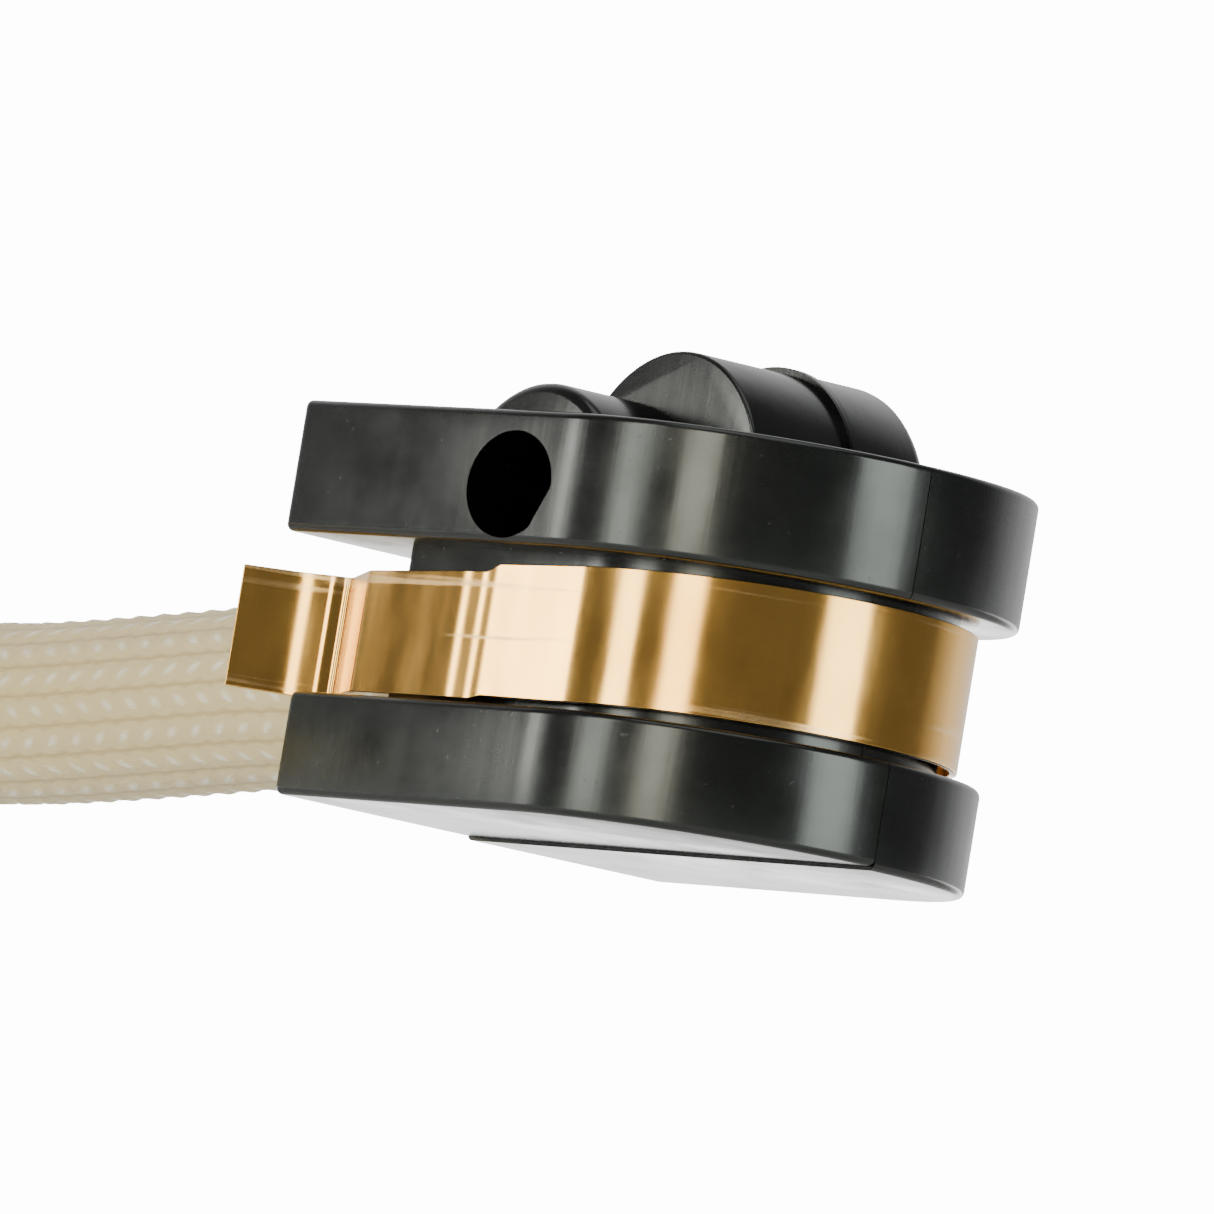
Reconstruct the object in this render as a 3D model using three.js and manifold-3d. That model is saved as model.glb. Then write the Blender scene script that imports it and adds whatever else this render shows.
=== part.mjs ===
// A cord lock: a two-part moulded body on a round braided cord, with a brass clip round its waist
// and a toothed cam in its barrel. Millimetres, +Z up, +X towards the rounded end, and the cord
// leaves along -X. The lock's heights are counted from the front half's underside, and the rear
// half's underside stands on z = 0 of the whole.
import * as THREE from 'three';
import { mergeVertices } from 'three/addons/utils/BufferGeometryUtils.js';
import Module from 'manifold-3d';

const wasm = await Module();
wasm.setup();

// Driving dimensions. X is counted from the centre of the rounded end, until the last group.
const lowerFlange = { radius: 6.82, flatEnd: -10.15, bottom: 0, top: 2.79 };
const upperFlange = { radius: 7.145, flatEnd: -11.1, bottom: 7, top: 10.54 };
const flangeEdge = 0.15;
const cornerRadius = 0.3;
const underStep = 0.1; // the rear half reaches this much lower than the front half
const waist = { radius: 5.6, flatEnd: -7.6 };
const parting = { gap: 0.1, jogHeight: 6.8, upperY: -0.45 }; // above the jog it lies nearer the front
const pieceGap = 0.3;
const pinGap = 0.12;
const seatGap = 0.15; // round the ferrule
const floorGap = 0.1; // under the anvil

const cordDiameter = 5;
const cordHeight = 3.8; // the cord's middle where it leaves the body
const channelRadius = cordDiameter / 2 + 0.2;
const cordInnerEnd = 3.5;

const barrel = { x: 0.25, z: 8.95, frontRadius: 3.84, rearRadius: 3.92, front: -3.75, rear: 2.2 };
const barrelLip = { radius: 4.02, width: 0.3 }; // at the front of the rear half's barrel
const chamber = { radius: 2.95, front: -2.3, rear: 1.8 };
const ridge = { x: -1.67, z: 7.88, radius: 3.5, front: -6.6 };
// An oval hole along Y. A flat from one given point to the other fills its lower corner on the +X side.
const releaseBore = {
  x: -1.85, z: 8.54, halfWidth: 1.74, halfHeight: 1.43, flat: [[-0.13, 8.47], [-0.96, 7.1]],
};

const pin = { radius: 0.6, front: -2.58, rear: 2.08 };
const cam = {
  front: -1.9, rear: 0.25, body: 1.6, lobeLow: 2.39, lobeHigh: 2.83, arm: 2.45, teeth: 6, tooth: 0.28,
};
const lobeSpan = [-110, -55]; // degrees from +X towards +Z, about the pin
const armSpan = [-180, -156];
const spring = { coilRadius: 1.25, wire: 0.24, pitch: 0.28, turns: 2.5, front: 0.55, leg: 1.2 };
const washer = { radius: 1.7, thickness: 0.25, endGap: 0.08 };

const anvil = { from: -2, to: 2.1, halfWidth: 1.4, bottom: 0.78, plate: 0.26, teeth: 7, tooth: 0.2 };
const ferrule = { from: 2.35, to: 4.05, radius: 2.95, wall: 0.2 };
const dowelRadius = 0.7;
const dowels = [ // where each crosses the parting plane, and half its length
  { x: -6.2, z: 8.7, half: 2.2 },
  { x: 5.2, z: 8.7, half: 2.2 },
  { x: 5.35, z: 1.4, half: 1.5 },
];

const clip = { thickness: 0.2, radius: 6.13, bottom: 3.02, top: 6.62, shoulder: 0.2, slope: 0.031 };
const clipLowEdge = { legs: 2.92, pastBody: 2.76, round: 3.18 };
// The clip's outer face from its front tip to where its flat side meets the arc round the waist.
const clipTip = [[-12.5, -7.1], [-11.47, -5.83], [-10.74, -5.4], [-10.45, -5.05]];
const clipLeg = [[-8.15, -6.39], [-3.88, -6.39], [-2.82, -6.3], [0.5, -6.11]];

// Where the cord lies, from its inner end to the hank: [x, z], with z from the surface below.
const cordRoute = [[3.5, 3.9], [-2, 3.9], [-8, 3.89], [-13, 3.81], [-18, 3.58], [-22.5, 3.18],
  [-27, 2.78], [-30.4, 2.56]];
const hank = { near: -43.5, run: 60, outerTurn: 15.1, pitch: 5.2, height: 5.4 };
const tie = { width: 6, thickness: 0.45, top: 5.75 };
const tip = { radius: 2.75, length: 12, inset: 2 };

// Each mesh's colour, roughness and metalness.
const finishes = {
  body: [0x16181a, 0.32, 0],
  brass: [0xb08d3c, 0.3, 0.95],
  steel: [0xb9bcc0, 0.3, 1],
  darkSteel: [0x6d7075, 0.4, 0.9],
  cord: [0xe9e2d0, 0.75, 0],
  tie: [0x2b2c2e, 0.8, 0],
  tip: [0xf1ecdf, 0.25, 0],
};

// ---- Geometry helpers ----

function solidOf(geometry) {
  const bare = geometry.clone();
  bare.deleteAttribute('normal');
  bare.deleteAttribute('uv');
  const merged = mergeVertices(bare, 1e-4);
  return new wasm.Manifold(new wasm.Mesh({
    numProp: 3,
    vertProperties: new Float32Array(merged.attributes.position.array),
    triVerts: new Uint32Array(merged.index.array),
  }));
}

function geometryOf(solid) {
  const mesh = solid.getMesh();
  const geometry = new THREE.BufferGeometry();
  geometry.setAttribute('position', new THREE.BufferAttribute(new Float32Array(mesh.vertProperties), 3));
  geometry.setIndex(new THREE.BufferAttribute(new Uint32Array(mesh.triVerts), 1));
  const faceted = geometry.toNonIndexed();
  faceted.computeVertexNormals();
  return faceted;
}

function moved(geometry, x, y, z) {
  return geometry.translate(x, y, z);
}

function box(x0, x1, y0, y1, z0, z1) {
  const shape = new THREE.BoxGeometry(x1 - x0, y1 - y0, z1 - z0);
  return moved(shape, (x0 + x1) / 2, (y0 + y1) / 2, (z0 + z1) / 2);
}

// A cylinder along Y, between two planes.
function cylinderY(radius, x, z, y0, y1, sides = 32) {
  const shape = new THREE.CylinderGeometry(radius, radius, y1 - y0, sides);
  return moved(shape, x, (y0 + y1) / 2, z);
}

// A cylinder along X, between two planes.
function cylinderX(radius, y, z, x0, x1, sides = 32) {
  const shape = new THREE.CylinderGeometry(radius, radius, x1 - x0, sides).rotateZ(Math.PI / 2);
  return moved(shape, (x0 + x1) / 2, y, z);
}

// An outline in X and Y, raised from z0 to z1, with an edge rounding inside its size.
function prismZ(shape, z0, z1, edge = 0, arcSteps = 20) {
  const rounded = edge > 0;
  const geometry = new THREE.ExtrudeGeometry(shape, {
    depth: z1 - z0 - 2 * edge, curveSegments: arcSteps, bevelEnabled: rounded,
    bevelSize: edge, bevelThickness: edge, bevelOffset: -edge, bevelSegments: 2,
  });
  return moved(geometry, 0, 0, z0 + edge);
}

// An outline in X and Z, run from y0 to y1.
function prismY(shape, y0, y1, arcSteps = 12) {
  const geometry = new THREE.ExtrudeGeometry(shape, {
    depth: y1 - y0, curveSegments: arcSteps, bevelEnabled: false,
  });
  return moved(geometry.rotateX(Math.PI / 2), 0, y1, 0);
}

// An outline in Y and Z, run from x0 to x1.
function prismX(shape, x0, x1) {
  const geometry = new THREE.ExtrudeGeometry(shape, { depth: x1 - x0, bevelEnabled: false });
  return moved(geometry.rotateZ(Math.PI / 2).rotateY(Math.PI / 2), x0, 0, 0);
}

function outline(points) {
  return new THREE.Shape(points.map(([x, y]) => new THREE.Vector2(x, y)));
}

// ---- The moulded body ----

// A flat end at -X with small corners, straight sides and a half-round end at +X.
function roundEndedOutline({ radius, flatEnd }) {
  const shape = new THREE.Shape();
  shape.moveTo(flatEnd + cornerRadius, -radius);
  shape.lineTo(0, -radius);
  shape.absarc(0, 0, radius, -Math.PI / 2, Math.PI / 2, false);
  shape.lineTo(flatEnd + cornerRadius, radius);
  shape.absarc(flatEnd + cornerRadius, radius - cornerRadius, cornerRadius, Math.PI / 2, Math.PI, false);
  shape.absarc(flatEnd + cornerRadius, cornerRadius - radius, cornerRadius, Math.PI, 1.5 * Math.PI, false);
  return shape;
}

// A point past the bore's flat moves back onto it.
function boreOutline() {
  const { x, z, halfWidth, halfHeight, flat } = releaseBore;
  const start = new THREE.Vector2(...flat[0]);
  const along = new THREE.Vector2(...flat[1]).sub(start).normalize();
  const steps = 40;
  const points = [];
  for (let i = 0; i < steps; i += 1) {
    const angle = i / steps * 2 * Math.PI;
    const [across, up] = [x + halfWidth * Math.cos(angle), z + halfHeight * Math.sin(angle)];
    const point = new THREE.Vector2(across, up).sub(start);
    const past = point.x * along.y - point.y * along.x;
    if (past < 0) point.copy(along).multiplyScalar(point.dot(along));
    points.push(point.add(start).toArray());
  }
  return outline(points);
}

function wholeBody(bottom) {
  const overlap = 0.4;
  const { radius, x, z, front } = ridge;
  const ridgeSolid = solidOf(cylinderY(radius, x, z, front, barrel.front + overlap, 40))
    .intersect(solidOf(box(-10, 10, -10, 10, upperFlange.bottom + overlap, 20)));
  const solid = [
    prismZ(roundEndedOutline(lowerFlange), bottom, lowerFlange.top, flangeEdge),
    prismZ(roundEndedOutline(upperFlange), upperFlange.bottom, upperFlange.top, flangeEdge),
    prismZ(roundEndedOutline(waist), lowerFlange.top - overlap, upperFlange.bottom + overlap),
    cylinderY(barrel.frontRadius, barrel.x, barrel.z, barrel.front, parting.upperY, 48),
    cylinderY(barrel.rearRadius, barrel.x, barrel.z, parting.upperY, barrel.rear, 48),
    cylinderY(barrelLip.radius, barrel.x, barrel.z, parting.upperY, parting.upperY + barrelLip.width, 48),
  ].map(solidOf).reduce((sum, next) => sum.add(next), ridgeSolid);
  return hollows().map(solidOf).reduce((rest, hollow) => rest.subtract(hollow), solid);
}

function hollows() {
  const past = 4;
  const pocketEnd = ferrule.to + seatGap;
  const channelFloor = cordHeight - channelRadius;
  const overlap = 0.6;
  const dowelHoles = dowels.map(({ x, z, half }) => cylinderY(dowelRadius + pinGap, x, z,
    -half - pinGap, half + pinGap, 20));
  return [
    cylinderX(channelRadius, 0, cordHeight, upperFlange.flatEnd - past, ferrule.from),
    cylinderX(ferrule.radius + seatGap, 0, cordHeight, ferrule.from - pieceGap, pocketEnd),
    cylinderY(chamber.radius, barrel.x, barrel.z, chamber.front, chamber.rear, 40),
    cylinderY(pin.radius + pinGap, barrel.x, barrel.z, pin.front - pinGap / 2, pin.rear + pinGap / 2, 20),
    prismY(boreOutline(), -upperFlange.radius - past, chamber.front + 0.2),
    box(anvil.from - pieceGap, anvil.to + pieceGap, -anvil.halfWidth - pieceGap, anvil.halfWidth + pieceGap,
      anvil.bottom - floorGap, channelFloor + overlap),
    ...dowelHoles,
  ];
}

function half(side) {
  const reach = 20;
  const inner = side * parting.gap / 2;
  const body = wholeBody(side < 0 ? lowerFlange.bottom : lowerFlange.bottom - underStep);
  const [jog, upper] = [parting.jogHeight + inner, parting.upperY + inner];
  const profile = [[side * reach, -reach], [inner, -reach], [inner, jog], [upper, jog], [upper, reach],
    [side * reach, reach]];
  const block = prismX(outline(profile), -reach, reach);
  return geometryOf(body.intersect(solidOf(block)));
}

// ---- The brass clip ----

// A strip's closed outline, from the points of its outer face and its thickness.
function stripOutline(outer, thickness) {
  const inner = outer.map(([x, y], i) => {
    const [ax, ay] = outer[Math.max(i - 1, 0)];
    const [bx, by] = outer[Math.min(i + 1, outer.length - 1)];
    const length = Math.hypot(bx - ax, by - ay);
    return [x - (by - ay) / length * thickness, y + (bx - ax) / length * thickness];
  });
  return outline([...outer, ...inner.reverse()]);
}

function clipGeometry() {
  const frontSide = [...clipTip, ...clipLeg];
  const startAngle = Math.atan2(clipLeg.at(-1)[1], clipLeg.at(-1)[0]);
  const arcSteps = 28;
  const arc = [];
  for (let i = 1; i < arcSteps; i += 1) {
    const angle = startAngle * (1 - 2 * i / arcSteps);
    arc.push([clip.radius * Math.cos(angle), clip.radius * Math.sin(angle)]);
  }
  const rearSide = frontSide.map(([x, y]) => [x, -y]).reverse();
  const strip = prismZ(stripOutline([...frontSide, ...arc, ...rearSide], clip.thickness), 2, 8);
  return geometryOf(solidOf(strip).intersect(solidOf(prismY(clipSideView(), -9, 9))));
}

// The clip seen from the side: its upper edge slopes, and steps down where the legs begin.
function clipSideView() {
  const [legs, band, front, back] = [-3.1, -2.6, 8, -14];
  const upper = (x) => clip.top + clip.slope * x;
  const pastBody = lowerFlange.flatEnd - 0.1;
  return outline([
    [back, clipLowEdge.pastBody], [pastBody - 0.1, clipLowEdge.pastBody], [pastBody, clipLowEdge.legs],
    [legs, clipLowEdge.legs], [band, clip.bottom], [0, clip.bottom], [front, clipLowEdge.round],
    [front, upper(front)], [band, upper(band)], [legs, upper(legs) - clip.shoulder],
    [back, upper(back) - clip.shoulder],
  ]);
}

// ---- The lock inside the barrel ----

function polar(degrees, radius) {
  const angle = THREE.MathUtils.degToRad(degrees);
  return [barrel.x + radius * Math.cos(angle), barrel.z + radius * Math.sin(angle)];
}

// The cam's lobe grows along its span and carries saw teeth. Its arm lies in the release bore's way.
function camGeometry() {
  const [lobeStart, lobeEnd] = lobeSpan;
  const points = [];
  for (let i = 0; i <= cam.teeth; i += 1) {
    const share = i / cam.teeth;
    const degrees = lobeStart + share * (lobeEnd - lobeStart);
    const radius = cam.lobeLow + share * (cam.lobeHigh - cam.lobeLow);
    points.push(polar(degrees, radius - cam.tooth), polar(degrees, radius));
  }
  for (let degrees = -40; degrees < 180; degrees += 20) points.push(polar(degrees, cam.body));
  points.push(polar(armSpan[0], cam.body), polar(armSpan[0] + 4, cam.arm));
  points.push(polar(armSpan[1] - 4, cam.arm), polar(armSpan[1], cam.body), polar(-130, cam.body));
  const solid = solidOf(prismY(outline(points), cam.front, cam.rear));
  const hole = cylinderY(pin.radius + pinGap, barrel.x, barrel.z, cam.front - 1, cam.rear + 1, 24);
  return geometryOf(solid.subtract(solidOf(hole)));
}

// A torsion spring's wire: a straight leg, the coils about the pin, and a second leg.
class SpringCurve extends THREE.Curve {
  getPoint(share) {
    const coiled = spring.turns * 2 * Math.PI * spring.coilRadius;
    const distance = share * (coiled + 2 * spring.leg) - spring.leg;
    const wound = THREE.MathUtils.clamp(distance, 0, coiled);
    const [angle, straight] = [wound / spring.coilRadius, distance - wound];
    const y = spring.front + wound / coiled * spring.turns * spring.pitch;
    return new THREE.Vector3(barrel.x + spring.coilRadius * Math.cos(angle) - straight * Math.sin(angle), y,
      barrel.z + spring.coilRadius * Math.sin(angle) + straight * Math.cos(angle));
  }
}

function roundSection(radius, sides) {
  const points = [];
  for (let i = 0; i < sides; i += 1) {
    const angle = (i + 0.5) / sides * 2 * Math.PI;
    points.push([radius * Math.cos(angle), radius * Math.sin(angle)]);
  }
  return outline(points);
}

function springGeometry() {
  const path = new SpringCurve();
  return new THREE.ExtrudeGeometry(roundSection(spring.wire / 2, 6), { steps: 60, extrudePath: path });
}

function washerGeometry(y0) {
  const [inner, outer, y1] = [pin.radius + pinGap, washer.radius, y0 + washer.thickness];
  const profile = [[inner, y0], [outer, y0], [outer, y1], [inner, y1], [inner, y0]];
  const ring = new THREE.LatheGeometry(profile.map(([r, y]) => new THREE.Vector2(r, y)), 28);
  return moved(ring, barrel.x, 0, barrel.z);
}

function anvilGeometry() {
  const pitch = (anvil.to - anvil.from) / anvil.teeth;
  const top = anvil.bottom + anvil.plate;
  const points = [[anvil.to, anvil.bottom], [anvil.to, top]];
  for (let i = anvil.teeth - 1; i >= 0; i -= 1) {
    const x = anvil.from + i * pitch;
    points.push([x + pitch * 0.9, top + anvil.tooth], [x, top]);
  }
  points.push([anvil.from, anvil.bottom]);
  return prismY(outline(points), -anvil.halfWidth, anvil.halfWidth);
}

// A crimped cup over the cord's inner end, open towards -X.
function ferruleGeometry() {
  const { from, to, radius, wall } = ferrule;
  const floor = cordInnerEnd + pieceGap;
  const profile = [[0, to], [0, floor], [radius - wall, floor], [radius - wall, from], [radius, from],
    [radius, to - 0.3], [radius - 0.3, to], [0, to]];
  const cup = new THREE.LatheGeometry(profile.map(([r, x]) => new THREE.Vector2(r, x)), 32);
  return moved(cup.rotateZ(-Math.PI / 2), 0, 0, cordHeight);
}

// ---- The cord and what is on it ----

function cordTubeGeometry() {
  const points = cordRoute.map(([x, z]) => new THREE.Vector3(x, 0, z));
  const path = new THREE.CatmullRomCurve3(points);
  return new THREE.ExtrudeGeometry(roundSection(cordDiameter / 2, 12), { steps: 10, extrudePath: path });
}

const hankAxisY = -hank.outerTurn;
const hankFar = hank.near - hank.run;
const hankMiddle = (hank.near + hankFar) / 2;
const tipEnd = hank.near - tip.inset;

function hankGeometry() {
  const radius = hank.outerTurn + cordDiameter / 2 + 0.1;
  const shape = new THREE.Shape();
  shape.absarc(hank.near, hankAxisY, radius, -Math.PI / 2, Math.PI / 2, false);
  shape.absarc(hankFar, hankAxisY, radius, Math.PI / 2, 1.5 * Math.PI, false);
  const tieRoom = tie.width / 2 + pieceGap;
  const tipRoom = tip.radius + pieceGap;
  const under = box(hankMiddle - tieRoom, hankMiddle + tieRoom, hankAxisY - 30, hankAxisY + 30, -1,
    tie.thickness + 0.05 + pieceGap);
  const slot = box(tipEnd - tip.length - pieceGap, tipEnd + pieceGap, hankAxisY - tipRoom,
    hankAxisY + tipRoom, -1, hank.height + 1);
  const solid = solidOf(prismZ(shape, 0, hank.height, 0, 16));
  return geometryOf(solid.subtract(solidOf(under)).subtract(solidOf(slot)));
}

// A flat band round the middle of the hank.
function tieGeometry() {
  const reach = hank.outerTurn + cordDiameter / 2 + 0.1 + pieceGap;
  const { width, thickness, top } = tie;
  const bottom = 0.05;
  const outer = box(hankMiddle - width / 2, hankMiddle + width / 2, hankAxisY - reach - thickness,
    hankAxisY + reach + thickness, bottom, top + thickness);
  const inner = box(hankMiddle - width, hankMiddle + width, hankAxisY - reach, hankAxisY + reach,
    bottom + thickness, top);
  return geometryOf(solidOf(outer).subtract(solidOf(inner)));
}

function tipGeometry() {
  const { radius, length } = tip;
  const profile = [[0, 0], [radius, 0], [radius, length - 1], [radius - 0.8, length], [0, length]];
  const sleeve = new THREE.LatheGeometry(profile.map(([r, x]) => new THREE.Vector2(r, x)), 24);
  return moved(sleeve.rotateZ(-Math.PI / 2), tipEnd - length, hankAxisY, radius + 0.05);
}

// ---- The assembly ----

function named(name, geometry, finish) {
  const [color, roughness, metalness] = finishes[finish];
  const mesh = new THREE.Mesh(geometry, new THREE.MeshStandardMaterial({ color, roughness, metalness }));
  mesh.name = name;
  return mesh;
}

const lock = new THREE.Group();
lock.add(named('front_shell', half(-1), 'body'));
lock.add(named('rear_shell', half(1), 'body'));
lock.add(named('spring_clip', clipGeometry(), 'brass'));
lock.add(named('lock_cam', camGeometry(), 'darkSteel'));
lock.add(named('cam_pin', cylinderY(pin.radius, barrel.x, barrel.z, pin.front, pin.rear, 24), 'steel'));
lock.add(named('cam_spring', springGeometry(), 'steel'));
lock.add(named('washer_front', washerGeometry(chamber.front + washer.endGap), 'steel'));
lock.add(named('washer_rear', washerGeometry(chamber.rear - washer.endGap - washer.thickness), 'steel'));
lock.add(named('anvil_plate', anvilGeometry(), 'darkSteel'));
lock.add(named('cord_ferrule', ferruleGeometry(), 'steel'));
dowels.forEach(({ x, z, half: reach }, i) => {
  const peg = cylinderY(dowelRadius, x, z, -reach, reach, 20);
  lock.add(named(`dowel_${i + 1}`, peg, 'steel'));
});

const cordPieces = new THREE.Group();
cordPieces.add(named('cord', cordTubeGeometry(), 'cord'));
cordPieces.add(named('cord_hank', hankGeometry(), 'cord'));
cordPieces.add(named('hank_tie', tieGeometry(), 'tie'));
cordPieces.add(named('cord_tip', tipGeometry(), 'tip'));

// The frame's origin is under the middle of the lock's length, from the clip's tips to the round end.
const clipTipX = clipTip[0][0];
const lockMiddle = (clipTipX + upperFlange.radius) / 2;
const assembly = new THREE.Group();
assembly.add(lock, cordPieces);
lock.position.z = underStep;
assembly.position.x = -lockMiddle;
export default assembly;
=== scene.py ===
import math

import bmesh
import bpy
import numpy as np
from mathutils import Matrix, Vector


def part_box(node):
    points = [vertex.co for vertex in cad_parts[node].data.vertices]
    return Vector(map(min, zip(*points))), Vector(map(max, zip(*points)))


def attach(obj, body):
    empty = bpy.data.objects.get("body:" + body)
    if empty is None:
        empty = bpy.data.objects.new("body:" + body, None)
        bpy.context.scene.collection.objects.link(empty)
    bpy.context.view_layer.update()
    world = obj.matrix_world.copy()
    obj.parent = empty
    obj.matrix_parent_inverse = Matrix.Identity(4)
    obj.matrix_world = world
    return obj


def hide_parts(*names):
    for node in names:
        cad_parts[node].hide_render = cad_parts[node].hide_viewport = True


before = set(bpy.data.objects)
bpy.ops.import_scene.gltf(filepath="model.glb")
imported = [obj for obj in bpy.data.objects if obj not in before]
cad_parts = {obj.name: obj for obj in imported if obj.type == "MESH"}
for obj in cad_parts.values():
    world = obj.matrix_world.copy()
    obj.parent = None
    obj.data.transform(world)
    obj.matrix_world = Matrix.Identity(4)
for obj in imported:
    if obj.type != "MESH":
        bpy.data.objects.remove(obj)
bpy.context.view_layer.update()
mm = 0.001

# The round end's centre is where the two shells' plan turns from straight sides to a half circle.
shellLow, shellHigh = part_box("front_shell")
upperRadius = -shellLow.y / mm
roundX = shellHigh.x / mm - upperRadius
print("frame loaded, the round end's centre is at x =", round(roundX, 3), "mm")


# Camera

cameraSetup = dict(
    azimuth=51.14,
    elevation=-4.74,
    roll=9.29,
    distance=504.4,
    fieldWidth=31.95,  # what the frame spans at the lock
    aimHeight=5.1,
    right=-3.455,
    up=1.592,
    sensorWidth=36,
    nearest=0.01,  # metres
    farthest=20,
)


def axesOf(azimuth, elevation):
    a, e = math.radians(azimuth), math.radians(elevation)
    back = Vector((math.sin(a) * math.cos(e), -math.cos(a) * math.cos(e), math.sin(e)))
    right = Vector((math.cos(a), math.sin(a), 0))
    return right, back.cross(right), back


def makeCamera(c):
    right, up, back = axesOf(c["azimuth"], c["elevation"])
    roll = math.radians(c["roll"])
    camRight = math.cos(roll) * right + math.sin(roll) * up
    camUp = math.cos(roll) * up - math.sin(roll) * right
    aim = Vector((roundX, 0, c["aimHeight"]))
    place = aim + back * c["distance"] + camRight * c["right"] + camUp * c["up"]
    data = bpy.data.cameras.new("lockCamera")
    data.sensor_width = c["sensorWidth"]
    data.lens = data.sensor_width * c["distance"] / c["fieldWidth"]
    data.clip_start, data.clip_end = c["nearest"], c["farthest"]
    cam = bpy.data.objects.new("lockCamera", data)
    bpy.context.collection.objects.link(cam)
    matrix = cam.matrix_world.copy()
    for row in range(3):
        for column, axis in enumerate((camRight, camUp, back)):
            matrix[row][column] = axis[row]
        matrix[row][3] = place[row] * mm
    cam.matrix_world = matrix
    bpy.context.scene.camera = cam


makeCamera(cameraSetup)


# Mesh helpers

def newObject(name, verts, faces, smooth=True):
    mesh = bpy.data.meshes.new(name)
    mesh.from_pydata([tuple(v) for v in verts], [], faces)
    mesh.update()
    if smooth:
        mesh.polygons.foreach_set("use_smooth", [True] * len(mesh.polygons))
    obj = bpy.data.objects.new(name, mesh)
    bpy.context.collection.objects.link(obj)
    return obj


def bake(obj):  # turns an object and its modifiers into a plain mesh
    graph = bpy.context.evaluated_depsgraph_get()
    graph.update()
    mesh = bpy.data.meshes.new_from_object(obj.evaluated_get(graph), depsgraph=graph)
    obj.modifiers.clear()
    old = obj.data
    obj.data = mesh
    bpy.data.meshes.remove(old)
    mesh.name = obj.name
    return obj


def remove(obj):
    bpy.data.objects.remove(obj, do_unlink=True)


def ringsMesh(name, rings, closeEnds=True):  # rings of equal count, joined side to side
    count = len(rings[0])
    verts = [p for ring in rings for p in ring]
    faces = []
    for r in range(len(rings) - 1):
        for i in range(count):
            j = (i + 1) % count
            faces.append((r * count + i, r * count + j, (r + 1) * count + j, (r + 1) * count + i))
    if closeEnds:
        faces.append(tuple(reversed(range(count))))
        faces.append(tuple((len(rings) - 1) * count + i for i in range(count)))
    obj = newObject(name, verts, faces)
    outward(obj)
    return obj


def outward(obj):
    work = bmesh.new()
    work.from_mesh(obj.data)
    bmesh.ops.recalc_face_normals(work, faces=work.faces)
    work.to_mesh(obj.data)
    work.free()


def boxObject(name, low, high):
    x0, y0, z0 = (v * mm for v in low)
    x1, y1, z1 = (v * mm for v in high)
    verts = [(x, y, z) for z in (z0, z1) for x, y in ((x0, y0), (x1, y0), (x1, y1), (x0, y1))]
    faces = [(3, 2, 1, 0), (4, 5, 6, 7), (0, 1, 5, 4), (1, 2, 6, 5), (2, 3, 7, 6), (3, 0, 4, 7)]
    return newObject(name, verts, faces, smooth=False)


def turned(name, profile, place, steps):  # profile of (along, radius), place gives a point in space
    turns = [2 * math.pi * i / steps for i in range(steps)]
    rings = []
    for along, radius in profile:
        points = [place(along, radius * math.cos(a), radius * math.sin(a)) for a in turns]
        rings.append([(x * mm, y * mm, z * mm) for x, y, z in points])
    return ringsMesh(name, rings)


def turnedY(name, profile, x, z, steps=96):
    return turned(name, profile, lambda along, right, up: (x + right, along, z + up), steps)


def turnedX(name, profile, y, z, steps=96):
    return turned(name, profile, lambda along, right, up: (along, y + right, z + up), steps)


def cut(obj, others, operation):
    for other in others:
        mod = obj.modifiers.new("cut", "BOOLEAN")
        mod.operation = operation
        mod.solver = "EXACT"
        mod.object = other
        bake(obj)
        remove(other)
        tidyMesh(obj)
    return obj


def tidyMesh(obj, reach=2e-7):  # joins points that a cut leaves almost on each other
    work = bmesh.new()
    work.from_mesh(obj.data)
    bmesh.ops.remove_doubles(work, verts=work.verts, dist=reach)
    bmesh.ops.dissolve_degenerate(work, edges=work.edges, dist=reach)
    work.to_mesh(obj.data)
    work.free()


def softenEdges(obj, width, segments=2, angle=38):
    mod = obj.modifiers.new("edges", "BEVEL")
    mod.width = width * mm
    mod.segments = segments
    mod.limit_method = "ANGLE"
    mod.angle_limit = math.radians(angle)
    mod.harden_normals = True
    obj.data.polygons.foreach_set("use_smooth", [True] * len(obj.data.polygons))
    return bake(obj)


# Material helpers

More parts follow.
